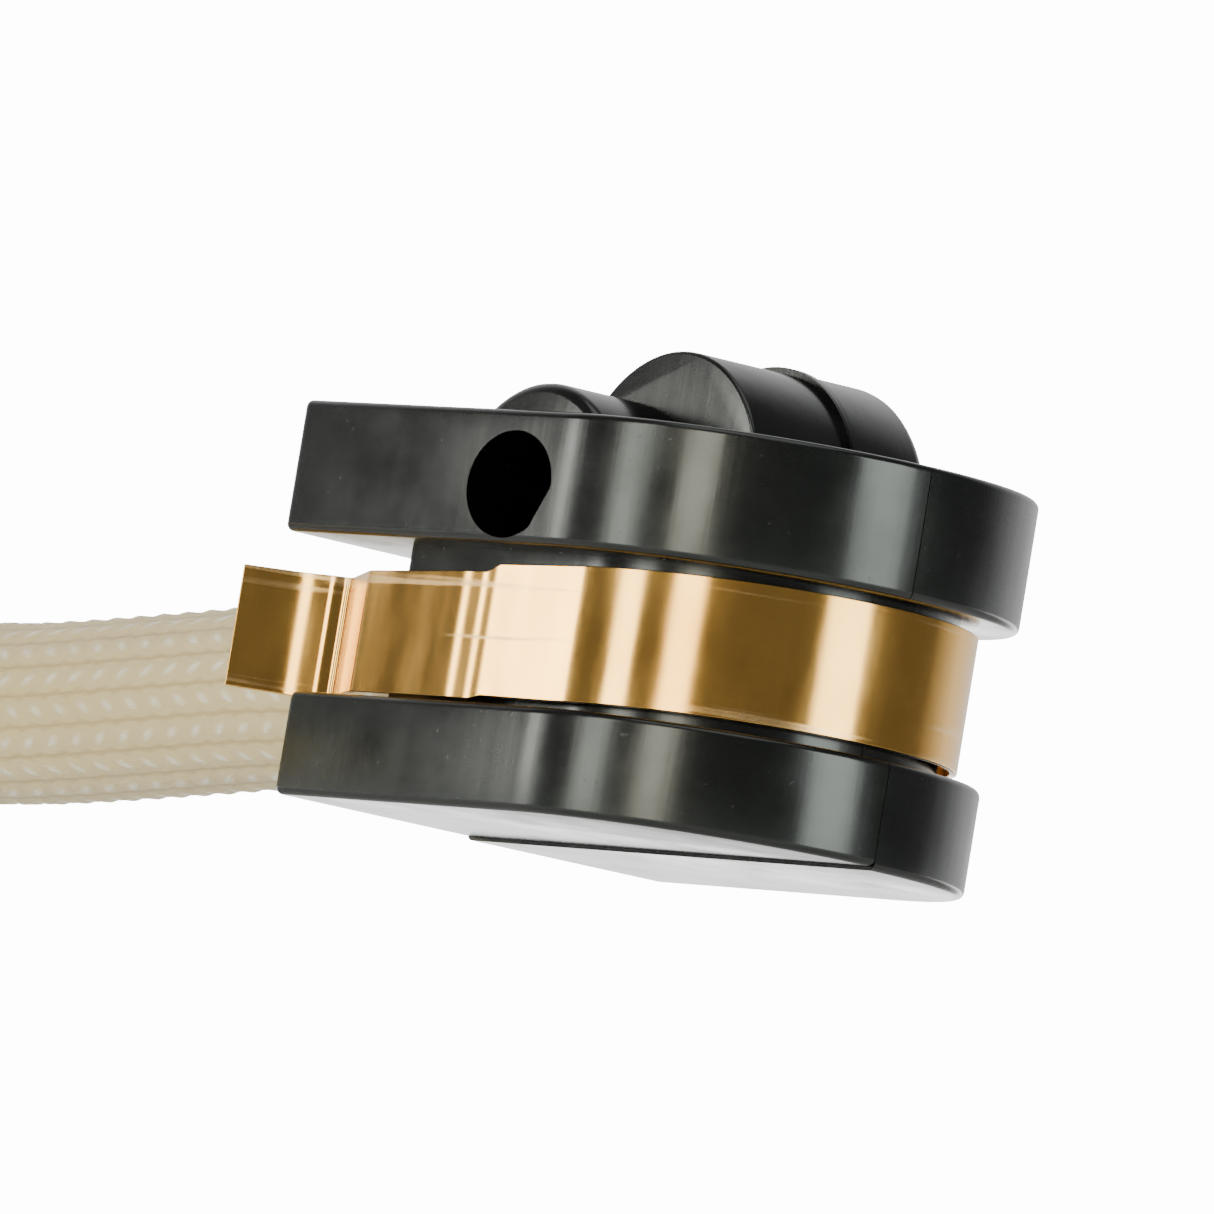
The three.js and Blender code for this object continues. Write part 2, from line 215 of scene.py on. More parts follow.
class Nodes:  # a short way to make and join nodes in one tree
    def __init__(self, tree):
        self.tree = tree

    def add(self, kind, **values):
        node = self.tree.nodes.new(kind)
        for key, value in values.items():
            setattr(node, key, value)
        return node

    def put(self, socket, value):
        if isinstance(value, bpy.types.NodeSocket):
            self.tree.links.new(value, socket)
        elif value is not None:
            socket.default_value = value

    def math(self, operation, a, b=None, c=None):
        node = self.add("ShaderNodeMath", operation=operation)
        for socket, value in zip(node.inputs, (a, b, c)):
            self.put(socket, value)
        return node.outputs[0]

    def noise(self, vector, scale, detail=3, roughness=0.55, stretch=None):
        if stretch:
            mapping = self.add("ShaderNodeMapping")
            self.put(mapping.inputs["Vector"], vector)
            mapping.inputs["Scale"].default_value = stretch
            vector = mapping.outputs[0]
        node = self.add("ShaderNodeTexNoise")
        self.put(node.inputs["Vector"], vector)
        node.inputs["Scale"].default_value = scale
        node.inputs["Detail"].default_value = detail
        node.inputs["Roughness"].default_value = roughness
        return node.outputs["Fac"]

    def spread(self, value, low, high, toLow, toHigh):
        node = self.add("ShaderNodeMapRange")
        for socket, v in zip(node.inputs, (value, low, high, toLow, toHigh)):
            self.put(socket, v)
        return node.outputs[0]

    def ramp(self, value, stops):
        node = self.add("ShaderNodeValToRGB")
        self.put(node.inputs[0], value)
        elements = node.color_ramp.elements
        while len(elements) < len(stops):
            elements.new(0.5)
        for element, (place, colour) in zip(elements, stops):
            element.position = place
            element.color = (*colour, 1)
        return node.outputs[0]

    def blend(self, share, a, b):
        node = self.add("ShaderNodeMix", data_type="RGBA", blend_type="MIX")
        self.put(node.inputs[0], share)
        for socket, value in ((node.inputs[6], a), (node.inputs[7], b)):
            self.put(socket, (*value, 1) if isinstance(value, tuple) else value)
        return node.outputs[2]

    def bump(self, height, strength, distance, normal=None):
        node = self.add("ShaderNodeBump")
        node.inputs["Strength"].default_value = strength
        node.inputs["Distance"].default_value = distance * mm
        self.put(node.inputs["Height"], height)
        self.put(node.inputs["Normal"], normal)
        return node.outputs[0]


def newMaterial(name, **constants):
    material = bpy.data.materials.new(name)
    material.use_nodes = True
    shader = material.node_tree.nodes["Principled BSDF"]
    for key, value in constants.items():
        shader.inputs[key.replace("_", " ")].default_value = value
    nodes = Nodes(material.node_tree)
    place = nodes.add("ShaderNodeTexCoord").outputs["Object"]
    return material, shader, nodes, place


def dress(obj, material):
    obj.data.materials.clear()
    obj.data.materials.append(material)
    return obj


# Black moulded body

blackLook = dict(
    base=(0.002, 0.0026, 0.0022),
    dust=(0.02, 0.021, 0.02),
    glint=(0.93, 1.0, 0.94),
    rough=(0.17, 0.27),
    cloudScale=420,
    dustScale=5200,
    streakScale=1500,
    grainScale=14000,
    dustShare=0.35,
    dustRough=0.2,
)


def blackPlastic(look):
    material, shader, n, place = newMaterial("blackPlastic", Specular_IOR_Level=0.62, IOR=1.5)
    shader.inputs["Specular Tint"].default_value = (*look["glint"], 1)
    cloud = n.noise(place, look["cloudScale"], 4)
    dust = n.noise(place, look["dustScale"], 2)
    streak = n.noise(place, look["streakScale"], 3, stretch=(1, 1, 0.05))
    grain = n.noise(place, look["grainScale"], 2)
    speck = n.spread(dust, 0.68, 0.78, 0, look["dustShare"])
    n.put(shader.inputs["Base Color"], n.blend(speck, look["base"], look["dust"]))
    rough = n.spread(cloud, 0.3, 0.7, *look["rough"])
    dusty = n.math("MULTIPLY", speck, look["dustRough"])
    n.put(shader.inputs["Roughness"], n.math("ADD", rough, dusty))
    bump = n.bump(streak, 0.3, 0.02)
    bump = n.bump(cloud, 0.12, 0.05, bump)
    n.put(shader.inputs["Normal"], n.bump(grain, 0.05, 0.01, bump))
    return material


bodyShape = dict(
    lower=dict(radius=6.82, flatEnd=-10.15, low=0.1, high=2.89),
    upper=dict(radius=7.145, flatEnd=-11.1, low=7.1, high=10.64),
    waist=dict(radius=5.6, flatEnd=-7.6, low=2.5, high=7.5),
    waistEdge=0.05,
    underStep=0.1,  # the rear half reaches this much lower
    corner=0.32,
    cornerSteps=7,
    edge=0.2,
    edgeSteps=5,
    arcSteps=72,
    parting=0.03,
    jogHeight=6.9,
    upperParting=-0.45,
    lineEdge=0.11,
)
barrelShape = dict(
    x=0.25,
    z=9.05,
    front=-3.75,
    rear=2.2,
    frontRadius=3.84,
    rearRadius=3.92,
    frontEdge=0.1,
    rearEdge=0.32,
    frontPast=0.05,  # how far each part reaches past the parting face into the next
    rearPast=0.03,
    lipPast=0.05,
    lip=4.02,
    lipWidth=0.3,
    lipSlope=0.08,
    lipSink=0.02,
    rodSteps=4,
)
ridgeShape = dict(x=-1.67, z=7.98, radius=3.5, front=-6.6, edge=0.3, past=0.8, floorAbove=0.6,
                  reach=20)
boreShape = dict(
    x=-1.85,
    z=8.64,
    halfWidth=1.74,
    halfHeight=1.43,
    flatFrom=(-0.13, 8.57),
    flatTo=(-0.96, 7.2),
    front=-12,
    past=0.2,
)
hollowShape = dict(
    cordZ=3.9,
    channel=2.7,
    channelFrom=-16,
    channelPast=0.1,
    chamber=2.95,
    chamberFront=-2.3,
    chamberRear=1.8,
    pin=0.72,
    pinFront=-2.64,
    pinRear=2.14,
    ferrule=3.1,
    ferruleFrom=2.05,
    ferruleTo=4.2,
    anvilFrom=-2.3,
    anvilTo=2.4,
    anvilHalf=1.7,
    anvilLow=0.78,
    anvilPast=0.6,
    dowel=0.82,
    dowels=((-6.2, 8.8, 2.32), (5.2, 8.8, 2.32), (5.35, 1.5, 1.62)),  # x, z and half the length
    smallSteps=32,
)


def plan(shape, inset, body):  # a flat end with small corners and a half-round other end
    r, flat, c = shape["radius"] - inset, shape["flatEnd"] + inset, body["corner"] - inset
    arc = np.linspace(-math.pi / 2, math.pi / 2, body["arcSteps"])
    points = [(r * math.cos(a), r * math.sin(a)) for a in arc]
    for cx, cy, start in ((flat + c, r - c, 90), (flat + c, c - r, 180)):
        for a in np.radians(np.linspace(start, start + 90, body["cornerSteps"])):
            points.append((cx + c * math.cos(a), cy + c * math.sin(a)))
    return points


def roundOver(edge, steps):  # (back from the end, in from the side) along a rounded edge
    turns = np.linspace(0, math.pi / 2, steps + 1)
    return [(edge * (1 - math.sin(t)), edge * (1 - math.cos(t))) for t in turns]


def slab(name, shape, body, edge):
    curve = roundOver(edge, body["edgeSteps"])
    levels = [(shape["low"] + back, inset) for back, inset in curve[::-1]]
    levels += [(shape["high"] - back, inset) for back, inset in curve]
    rings = []
    for z, inset in levels:
        rings.append([((roundX + x) * mm, y * mm, z * mm) for x, y in plan(shape, inset, body)])
    return ringsMesh(name, rings)


def roundedRod(front, rear, radius, edge, frontRound=True, rearRound=True):
    curve = roundOver(edge, barrelShape["rodSteps"])
    start = [(front + back, radius - inset) for back, inset in curve[::-1]]
    end = [(rear - back, radius - inset) for back, inset in curve]
    return (start if frontRound else [(front, radius)]) + (end if rearRound else [(rear, radius)])


def wholeBody(drop):
    b, bar, rid = bodyShape, barrelShape, ridgeShape
    barX, step = roundX + bar["x"], b["upperParting"]
    lipEnd = step + bar["lipWidth"]
    body = slab("lockBody", dict(b["lower"], low=b["lower"]["low"] - drop), b, b["edge"])
    upper = slab("upperFlange", b["upper"], b, b["edge"])
    waist = slab("waistCore", b["waist"], b, b["waistEdge"])
    frontRod = roundedRod(bar["front"], step + bar["frontPast"], bar["frontRadius"], bar["frontEdge"],
                          rearRound=False)
    rearRod = roundedRod(step - bar["rearPast"], bar["rear"], bar["rearRadius"], bar["rearEdge"],
                         frontRound=False)
    lipRod = [(step - bar["lipPast"], bar["lip"]), (lipEnd - bar["lipSlope"], bar["lip"]),
              (lipEnd, bar["rearRadius"] - bar["lipSink"])]
    ridgeRod = roundedRod(rid["front"], bar["front"] + rid["past"], rid["radius"], rid["edge"],
                          rearRound=False)
    frontBarrel = turnedY("frontBarrel", frontRod, barX, bar["z"])
    rearBarrel = turnedY("rearBarrel", rearRod, barX, bar["z"])
    lip = turnedY("barrelLip", lipRod, barX, bar["z"])
    ridge = turnedY("ridge", ridgeRod, roundX + rid["x"], rid["z"])
    reach, floorTop = rid["reach"], b["upper"]["low"] + rid["floorAbove"]
    ridgeFloor = boxObject("ridgeFloor", (-reach, -reach, 0), (reach, reach, floorTop))
    cut(ridge, [ridgeFloor], "DIFFERENCE")
    cut(body, [upper, waist, frontBarrel, rearBarrel, lip, ridge], "UNION")
    return cut(body, hollowTools(), "DIFFERENCE")


def hollowTools():
    h, bar, bore = hollowShape, barrelShape, boreShape
    barX, small = roundX + bar["x"], h["smallSteps"]
    channel = [(roundX + h["channelFrom"], h["channel"]),
               (roundX + h["ferruleFrom"] + h["channelPast"], h["channel"])]
    pocket = [(roundX + h["ferruleFrom"], h["ferrule"]), (roundX + h["ferruleTo"], h["ferrule"])]
    chamber = [(h["chamberFront"], h["chamber"]), (h["chamberRear"], h["chamber"])]
    pinHole = [(h["pinFront"], h["pin"]), (h["pinRear"], h["pin"])]
    anvilTop = h["cordZ"] - h["channel"] + h["anvilPast"]
    boreRings = [boreRing(bore["front"]), boreRing(h["chamberFront"] + bore["past"])]
    tools = [
        turnedX("channel", channel, 0, h["cordZ"]),
        turnedX("ferrulePocket", pocket, 0, h["cordZ"]),
        turnedY("chamber", chamber, barX, bar["z"]),
        turnedY("pinHole", pinHole, barX, bar["z"], small),
        ringsMesh("releaseBore", boreRings),
        boxObject("anvilPocket", (roundX + h["anvilFrom"], -h["anvilHalf"], h["anvilLow"]),
                  (roundX + h["anvilTo"], h["anvilHalf"], anvilTop)),
    ]
    for x, z, half in h["dowels"]:
        hole = [(-half, h["dowel"]), (half, h["dowel"])]
        tools.append(turnedY("dowelHole", hole, roundX + x, z, small))
    return tools


def boreRing(y, steps=96):  # an oval with a flat across its lower corner
    b = boreShape
    start = Vector(b["flatFrom"])
    along = (Vector(b["flatTo"]) - start).normalized()
    ring = []
    for i in range(steps):
        a = 2 * math.pi * i / steps
        p = Vector((b["x"] + b["halfWidth"] * math.cos(a), b["z"] + b["halfHeight"] * math.sin(a)))
        past = (p - start).x * along.y - (p - start).y * along.x
        if past < 0:
            p = start + along * (p - start).dot(along)
        ring.append(((roundX + p.x) * mm, y * mm, p.y * mm))
    return ring


def otherHalf(side):  # two boxes that take up everything past one half's parting faces
    b, reach, stagger = bodyShape, 30, 1  # the boxes' outer faces are staggered, so that none coincide
    inner = side * b["parting"] / 2
    jog, upper = b["jogHeight"] + inner, b["upperParting"] + inner
    if side > 0:
        spans = ((-reach, inner, -reach, jog), (-reach - stagger, upper, -reach - stagger, reach))
    else:
        spans = ((inner, reach, -reach, reach), (upper, reach + stagger, jog, reach + stagger))
    return [boxObject("otherHalf", (-reach, y0, z0), (reach, y1, z1)) for y0, y1, z0, z1 in spans]


def makeShells():
    for name, node, side, drop in (("frontShellMoulding", "front_shell", -1, 0),
                                   ("rearShellMoulding", "rear_shell", 1, bodyShape["underStep"])):
        shell = wholeBody(drop)
        cut(shell, otherHalf(side), "DIFFERENCE")
        softenEdges(shell, bodyShape["lineEdge"])
        shell.name = shell.data.name = name
        dress(shell, blackFinish)
        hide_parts(node)
        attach(shell, "lock_body")


# Brass clip

clipShape = dict(
    thickness=0.2,
    radius=6.13,
    tip=((-12.5, -7.1), (-11.47, -5.83), (-10.74, -5.4), (-10.45, -5.05)),
    leg=((-8.15, -6.3), (-3.88, -6.39), (-3.24, -6.3), (-2.82, -6.3), (0.5, -6.11)),
    bends=(0.0, 0.35, 0.12, 0.3, 0.15, 0.25, 0.25, 0.12, 0.5),
    low=3.12,
    high=6.72,
    slope=0.031,
    shoulder=0.2,
    shoulderX=-2.7,
    shoulderRun=0.5,
    roundRise=0.02,
    legLow=3.02,
    tipLow=2.86,
    tipX=-10.2,
    tipRun=0.12,
    rows=10,
    pathStep=0.25,
    arcPoints=120,
    edge=0.03,
    edgeAngle=50,
)
brassLook = dict(
    bright=(0.82, 0.47, 0.115),
    dark=(0.55, 0.27, 0.06),
    scratch=(0.95, 0.82, 0.55),
    rough=(0.11, 0.2),
    tarnishScale=520,
    rolledScale=900,
    scratchScale=2600,
    smudgeScale=700,
    tarnishShare=0.35,
    scratchShare=0.25,
    scratchRough=0.12,
)


def brassFinish(look):
    material, shader, n, place = newMaterial("scratchedBrass", Metallic=1.0, Specular_IOR_Level=0.6)
    tarnish = n.noise(place, look["tarnishScale"], 4)
    rolled = n.noise(place, look["rolledScale"], 3, stretch=(0.06, 0.06, 4))
    scratch = n.noise(place, look["scratchScale"], 2, stretch=(0.03, 0.03, 1))
    smudge = n.noise(place, look["smudgeScale"], 3, 0.5, stretch=(1, 1, 0.25))
    lines = n.spread(scratch, 0.62, 0.7, 0, 1)
    darker = n.spread(tarnish, 0.42, 0.72, 0, look["tarnishShare"])
    colour = n.blend(darker, look["bright"], look["dark"])
    colour = n.blend(n.math("MULTIPLY", lines, look["scratchShare"]), colour, look["scratch"])
    n.put(shader.inputs["Base Color"], colour)
    rough = n.spread(smudge, 0.35, 0.7, *look["rough"])
    scraped = n.math("MULTIPLY", lines, look["scratchRough"])
    n.put(shader.inputs["Roughness"], n.math("ADD", rough, scraped))
    bump = n.bump(rolled, 0.12, 0.02)
    bump = n.bump(lines, 0.25, 0.01, bump)
    n.put(shader.inputs["Normal"], n.bump(smudge, 0.1, 0.05, bump))
    return material


def roundedPath(points, radii, step, bendSteps=7, longest=0.45):  # straight runs, round bends between
    out = [Vector(points[0])]
    for i in range(1, len(points) - 1):
        p, a, b = Vector(points[i]), Vector(points[i - 1]), Vector(points[i + 1])
        reach = min(radii[i], (p - a).length * longest, (p - b).length * longest)
        start, end = p + (a - p).normalized() * reach, p + (b - p).normalized() * reach
        for t in np.linspace(0, 1, bendSteps):
            out.append(start * (1 - t) ** 2 + p * 2 * t * (1 - t) + end * t ** 2)
    out.append(Vector(points[-1]))
    fine = [out[0]]
    for p in out[1:]:
        gap = (p - fine[-1]).length
        if gap < 1e-6:
            continue
        pieces = max(1, round(gap / step))
        first = fine[-1]
        fine += [first.lerp(p, k / pieces) for k in range(1, pieces + 1)]
    return fine


def clipLevels(x):  # the sheet's lower and upper edge at a place along the lock
    c = clipShape
    inLeg = min(max((c["shoulderX"] - x) / c["shoulderRun"], 0), 1)
    pastBody = min(max((c["tipX"] - x) / c["tipRun"], 0), 1)
    low = c["low"] + max(0, x) * c["roundRise"] + (c["legLow"] - c["low"]) * inLeg
    low += (c["tipLow"] - c["legLow"]) * pastBody
    return low, c["high"] + c["slope"] * x - c["shoulder"] * inLeg


def makeClip():
    c = clipShape
    side = roundedPath(c["tip"] + c["leg"], c["bends"], c["pathStep"])
    start = math.atan2(side[-1].y, side[-1].x)
    arc = [Vector((c["radius"] * math.cos(a), c["radius"] * math.sin(a)))
           for a in np.linspace(start, -start, c["arcPoints"])[1:-1]]
    path = side + arc + [Vector((p.x, -p.y)) for p in reversed(side)]
    rings = []
    for i, outer in enumerate(path):
        along = (path[min(i + 1, len(path) - 1)] - path[max(i - 1, 0)]).normalized()
        inner = outer + Vector((-along.y, along.x)) * c["thickness"]
        heights = np.linspace(*clipLevels(outer.x), c["rows"])
        ring = [((roundX + outer.x) * mm, outer.y * mm, z * mm) for z in heights]
        ring += [((roundX + inner.x) * mm, inner.y * mm, z * mm) for z in heights[::-1]]
        rings.append(ring)
    clip = ringsMesh("brassClip", rings)
    softenEdges(clip, c["edge"], angle=c["edgeAngle"])
    dress(clip, brass)
    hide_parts("spring_clip")
    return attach(clip, "lock_body")


# Braided cord

cordShape = dict(
    diameter=5.0,
    route=((3.5, 3.9), (-2, 3.9), (-8, 3.89), (-13, 3.81), (-18, 3.58), (-22.5, 3.18), (-27, 2.78),
           (-30.4, 2.56), (-35, 2.5), (-39.5, 2.5)),
    hankNear=-43.5,
    hankRun=60.0,
    turnRadius=15.1,
    turnPitch=5.2,
    restHeight=2.5,
    runPoints=16,
    foldPoints=18,
    lastRunPoints=14,
    tieRise=0.55,
    tieReach=6.0,
    tipEnd=-45.5,
    tipLength=12.0,
    tipRise=0.3,
    tipInset=1.0,
    carriers=18,
    pick=1.04,
    relief=0.1,
    sink=0.55,  # how much of the relief the plain tube is smaller by
    lean=0.7,
    around=72,
    fineStep=0.08,
    coarseStep=0.36,
    seenFrom=-5.0,
    seenTo=-32.5,
    exitHeight=3.87,
)
cordLook = dict(
    # The darkest colour is painted shade in the grooves between the yarns, and the palest is a painted
    # highlight on the yarn tops; the middle colour is the cord's own cream.
    paintedValleyShade=(0.54, 0.40, 0.17),
    middle=(0.80, 0.66, 0.34),
    paintedCrownHighlight=(0.98, 0.94, 0.70),
    blotch=(0.68, 0.52, 0.24),
    stops=(0.1, 0.36, 0.76, 0.93),
    fibreScale=6.0,
    blotchScale=260,
    blotchShare=0.25,
)


def hankPoints(c):  # the folded length: an outer turn, an inner turn, and a run into the middle
    near, far = c["hankNear"], c["hankNear"] - c["hankRun"]
    r, pitch, axis, rest = c["turnRadius"], c["turnPitch"], -c["turnRadius"], c["restHeight"]
    tipStart = c["tipEnd"] - c["tipLength"]
    points = []

    def run(x0, x1, y0, y1, count=c["runPoints"]):
        for t in np.linspace(0, 1, count)[:-1]:
            ease = t * t * (3 - 2 * t)
            x = x0 + (x1 - x0) * t
            lift = c["tieRise"] * math.exp(-(((x - (near + far) / 2) / c["tieReach"]) ** 2))
            points.append((x, axis + y0 + (y1 - y0) * ease, rest + lift))

    def fold(x, radius, start):
        for a in np.linspace(start, start + math.pi, c["foldPoints"])[:-1]:
            points.append((x + radius * math.cos(a), axis + radius * math.sin(a), rest))

    run(near, far, r, r)
    fold(far, r, math.pi / 2)
    run(far, near, -r, -r + pitch)
    fold(near, r - pitch, -math.pi / 2)
    run(near, far, r - pitch, r - pitch)
    fold(far, r - pitch, math.pi / 2)
    run(far, tipStart, -r + pitch, 0, c["lastRunPoints"])
    points.append((tipStart, axis, rest + c["tipRise"]))
    points.append((c["tipEnd"] - c["tipInset"], axis, rest + c["tipRise"]))
    return points


def smoothLine(points, step, between=24, shortest=0.02):  # a Catmull-Rom line, in even short steps
    p = np.array(points, float)
    p = np.vstack([2 * p[0] - p[1], p, 2 * p[-1] - p[-2]])
    fine = []
    for i in range(1, len(p) - 2):
        for t in np.linspace(0, 1, between, endpoint=False):
            fine.append(0.5 * (2 * p[i] + (p[i + 1] - p[i - 1]) * t
                               + (2 * p[i - 1] - 5 * p[i] + 4 * p[i + 1] - p[i + 2]) * t ** 2
                               + (3 * p[i] - p[i - 1] - 3 * p[i + 1] + p[i + 2]) * t ** 3))
    fine.append(p[-2])
    fine = np.array(fine)
    along = np.concatenate([[0], np.cumsum(np.linalg.norm(np.diff(fine, axis=0), axis=1))])
    at = [0.0]
    while at[-1] < along[-1]:
        x = np.interp(at[-1], along, fine[:, 0])
        at.append(at[-1] + step(x))
    at = np.array(at[:-1] + [along[-1]])
    if at[-1] - at[-2] < shortest:
        at = np.delete(at, -2)
    return np.stack([np.interp(at, along, fine[:, k]) for k in range(3)], 1), at


def cordGrid(c):  # a plain tube with each point's place round and along the cord as attributes
    points = [(x, 0, z) for x, z in c["route"]] + hankPoints(c)

    def step(x):
        return c["fineStep"] if c["seenTo"] < x < c["seenFrom"] else c["coarseStep"]

    line, along = smoothLine(points, step)
    line = line + np.array([roundX, 0, 0])
    tangent = np.gradient(line, along, axis=0)
    tangent /= np.linalg.norm(tangent, axis=1)[:, None]
    side = np.cross(tangent, (0, 0, 1.0))
    side /= np.linalg.norm(side, axis=1)[:, None]
    up = np.cross(side, tangent)
    turns = np.arange(c["around"]) / c["around"] * 2 * math.pi
    radius = c["diameter"] / 2 - c["relief"] * c["sink"]
    ring = side[:, None] * np.cos(turns)[None, :, None]
    ring = ring + up[:, None] * np.sin(turns)[None, :, None]
    verts = ((line[:, None] + ring * radius) * mm).reshape(-1, 3)
    rows, count = len(line), c["around"]
    faces = []
    for r in range(rows - 1):
        a, b = r * count, (r + 1) * count
        for i in range(count):
            j = (i + 1) % count
            faces.append((a + i, a + j, b + j, b + i))
    faces.append(tuple(reversed(range(count))))
    faces.append(tuple((rows - 1) * count + i for i in range(count)))
    cord = newObject("braidedCord", verts, faces)
    outward(cord)
    place = cord.data.uv_layers.new(name="braidPlace")
    loops = np.zeros(len(cord.data.loops), int)
    cord.data.loops.foreach_get("vertex_index", loops)
    columns = (loops % count) * c["carriers"] / count
    picks = along[loops // count] / c["pick"]
    for polygon in cord.data.polygons:  # the seam's last column counts up to the whole turn
        span = polygon.loop_indices
        if len(span) == 4 and max(columns[k] for k in span) - min(columns[k] for k in span) > 2:
            for k in span:
                if columns[k] < 1e-6:
                    columns[k] = c["carriers"]
    place.data.foreach_set("uv", np.stack([columns, picks], 1).astype(np.float32).ravel())
    around = np.tile(np.arange(count) * c["carriers"] / count, rows)
    onward = np.repeat(along / c["pick"], count)
    for name, values in (("column", around), ("pickCount", onward)):
        attribute = cord.data.attributes.new(name, "FLOAT", "POINT")
        attribute.data.foreach_set("value", values.astype(np.float32))
    return cord, line, float(along[-1])


def braidHeight(n, column, pick, lean, grain=0.3):  # leaning grains, every other column half a pick on
    whole = n.math("FLOOR", column)
    across = n.math("SUBTRACT", n.math("SUBTRACT", column, whole), 0.5)
    odd = n.math("MODULO", whole, 2.0)
    sign = n.math("SUBTRACT", n.math("MULTIPLY", odd, 2.0), 1.0)
    skew = n.math("MULTIPLY", n.math("MULTIPLY", sign, across), lean)
    shifted = n.math("ADD", n.math("ADD", pick, n.math("MULTIPLY", odd, 0.5)), skew)
    down = n.math("SUBTRACT", n.math("FRACT", shifted), 0.5)
    wide = n.math("COSINE", n.math("MULTIPLY", across, math.pi))
    long = n.math("COSINE", n.math("MULTIPLY", down, 2 * math.pi))
    return n.math("MULTIPLY", wide, n.math("ADD", n.math("MULTIPLY", long, grain), 1 - grain))


def braidTree():  # raises the tube's skin into yarns
    tree = bpy.data.node_groups.new("raiseBraid", "GeometryNodeTree")
    face = tree.interface
    face.new_socket("Geometry", in_out="INPUT", socket_type="NodeSocketGeometry")
    for name in ("Relief", "Lean"):
        face.new_socket(name, in_out="INPUT", socket_type="NodeSocketFloat")
    face.new_socket("Finish", in_out="INPUT", socket_type="NodeSocketMaterial")
    face.new_socket("Geometry", in_out="OUTPUT", socket_type="NodeSocketGeometry")
    n = Nodes(tree)
    given = n.add("NodeGroupInput")
    column = n.add("GeometryNodeInputNamedAttribute", data_type="FLOAT")
    column.inputs["Name"].default_value = "column"
    pick = n.add("GeometryNodeInputNamedAttribute", data_type="FLOAT")
    pick.inputs["Name"].default_value = "pickCount"
    height = braidHeight(n, column.outputs["Attribute"], pick.outputs["Attribute"],
                         given.outputs["Lean"])
    outwards = n.add("ShaderNodeVectorMath", operation="SCALE")
    n.put(outwards.inputs[0], n.add("GeometryNodeInputNormal").outputs[0])
    n.put(outwards.inputs["Scale"], n.math("MULTIPLY", height, given.outputs["Relief"]))
    raised = n.add("GeometryNodeSetPosition")
    n.put(raised.inputs["Geometry"], given.outputs["Geometry"])
    n.put(raised.inputs["Offset"], outwards.outputs[0])
    solid = n.add("GeometryNodeRealizeInstances")
    n.put(solid.inputs[0], raised.outputs[0])
    finish = n.add("GeometryNodeSetMaterial")
    n.put(finish.inputs["Geometry"], solid.outputs[0])
    n.put(finish.inputs["Material"], given.outputs["Finish"])
    n.put(n.add("NodeGroupOutput").inputs[0], finish.outputs[0])
    return tree


def setInputs(mod, **values):
    items = mod.node_group.interface.items_tree
    sockets = {item.name: item.identifier for item in items if item.in_out == "INPUT"}
    for name, value in values.items():
        mod[sockets[name]] = value


def braidFinish(look, lean):
    material, shader, n, place = newMaterial("creamBraid", Roughness=0.42, Specular_IOR_Level=0.55,
                                             Sheen_Weight=0.25, Sheen_Roughness=0.4)
    uv = n.add("ShaderNodeUVMap", uv_map="braidPlace").outputs[0]
    parts = n.add("ShaderNodeSeparateXYZ")
    n.put(parts.inputs[0], uv)
    height = braidHeight(n, parts.outputs[0], parts.outputs[1], lean)
    fibre = n.noise(uv, look["fibreScale"], 2, stretch=(5, 0.7, 1))
    blotch = n.noise(place, look["blotchScale"], 3)
    # The yarn height sets the colour: the ramp paints shade into the grooves and a highlight onto the
    # yarn tops, and the fibre noise adds random tone.
    paintedShading = n.math("ADD", n.math("MULTIPLY", height, 0.8), n.math("MULTIPLY", fibre, 0.3))
    colours = (look["paintedValleyShade"], look["middle"], look["middle"], look["paintedCrownHighlight"])
    colour = n.ramp(paintedShading, tuple(zip(look["stops"], colours)))
    n.put(shader.inputs["Roughness"], n.spread(height, 0.6, 0.95, 0.5, 0.2))
    blotched = n.spread(blotch, 0.35, 0.75, 0, look["blotchShare"])
    colour = n.blend(blotched, colour, look["blotch"])
    n.put(shader.inputs["Base Color"], colour)
    n.put(shader.inputs["Normal"], n.bump(fibre, 0.5, 0.04))
    return material


def makeCord():
    c = cordShape
    cord, line, length = cordGrid(c)
    mod = cord.modifiers.new("raise", "NODES")
    mod.node_group = braidTree()
    setInputs(mod, Relief=c["relief"] * mm, Lean=c["lean"], Finish=braid)
    bake(cord)
    dress(cord, braid)
    print("cord is", round(length, 1), "mm long, with", len(cord.data.polygons), "faces")
    return cord, line, length


tipShape = dict(
    radius=2.74,
    steps=48,
    start=((0, 0.24), (0.05, 0.04), (0.25, 0)),  # from the end, and in from the side
    end=((0.5, 0.12), (0.15, 0.45), (0, 0.9)),
    rippleFrom=0.6,
    rippleTo=1.0,
    ripple=0.03,
    ripplePace=3.1,
    rippleRings=20,
)
tipLook = dict(dull=(0.74, 0.70, 0.58), clear=(0.86, 0.83, 0.72), cloudScale=500, ringScale=1400)
tieShape = dict(thickness=0.4, corner=1.2, cornerSteps=8, rim=0.3, wall=0.8)
tieLook = dict(dark=(0.008, 0.008, 0.009), light=(0.07, 0.07, 0.075), ribScale=900, fuzzScale=3200)


def tipFinish(look):
    material, shader, n, place = newMaterial("shrunkSleeve", Roughness=0.3, Coat_Weight=0.3)
    cloud = n.noise(place, look["cloudScale"], 4)
    rings = n.noise(place, look["ringScale"], 2, stretch=(1, 0.05, 0.05))
    n.put(shader.inputs["Base Color"], n.blend(cloud, look["dull"], look["clear"]))
    n.put(shader.inputs["Normal"], n.bump(rings, 0.4, 0.04))
    return material


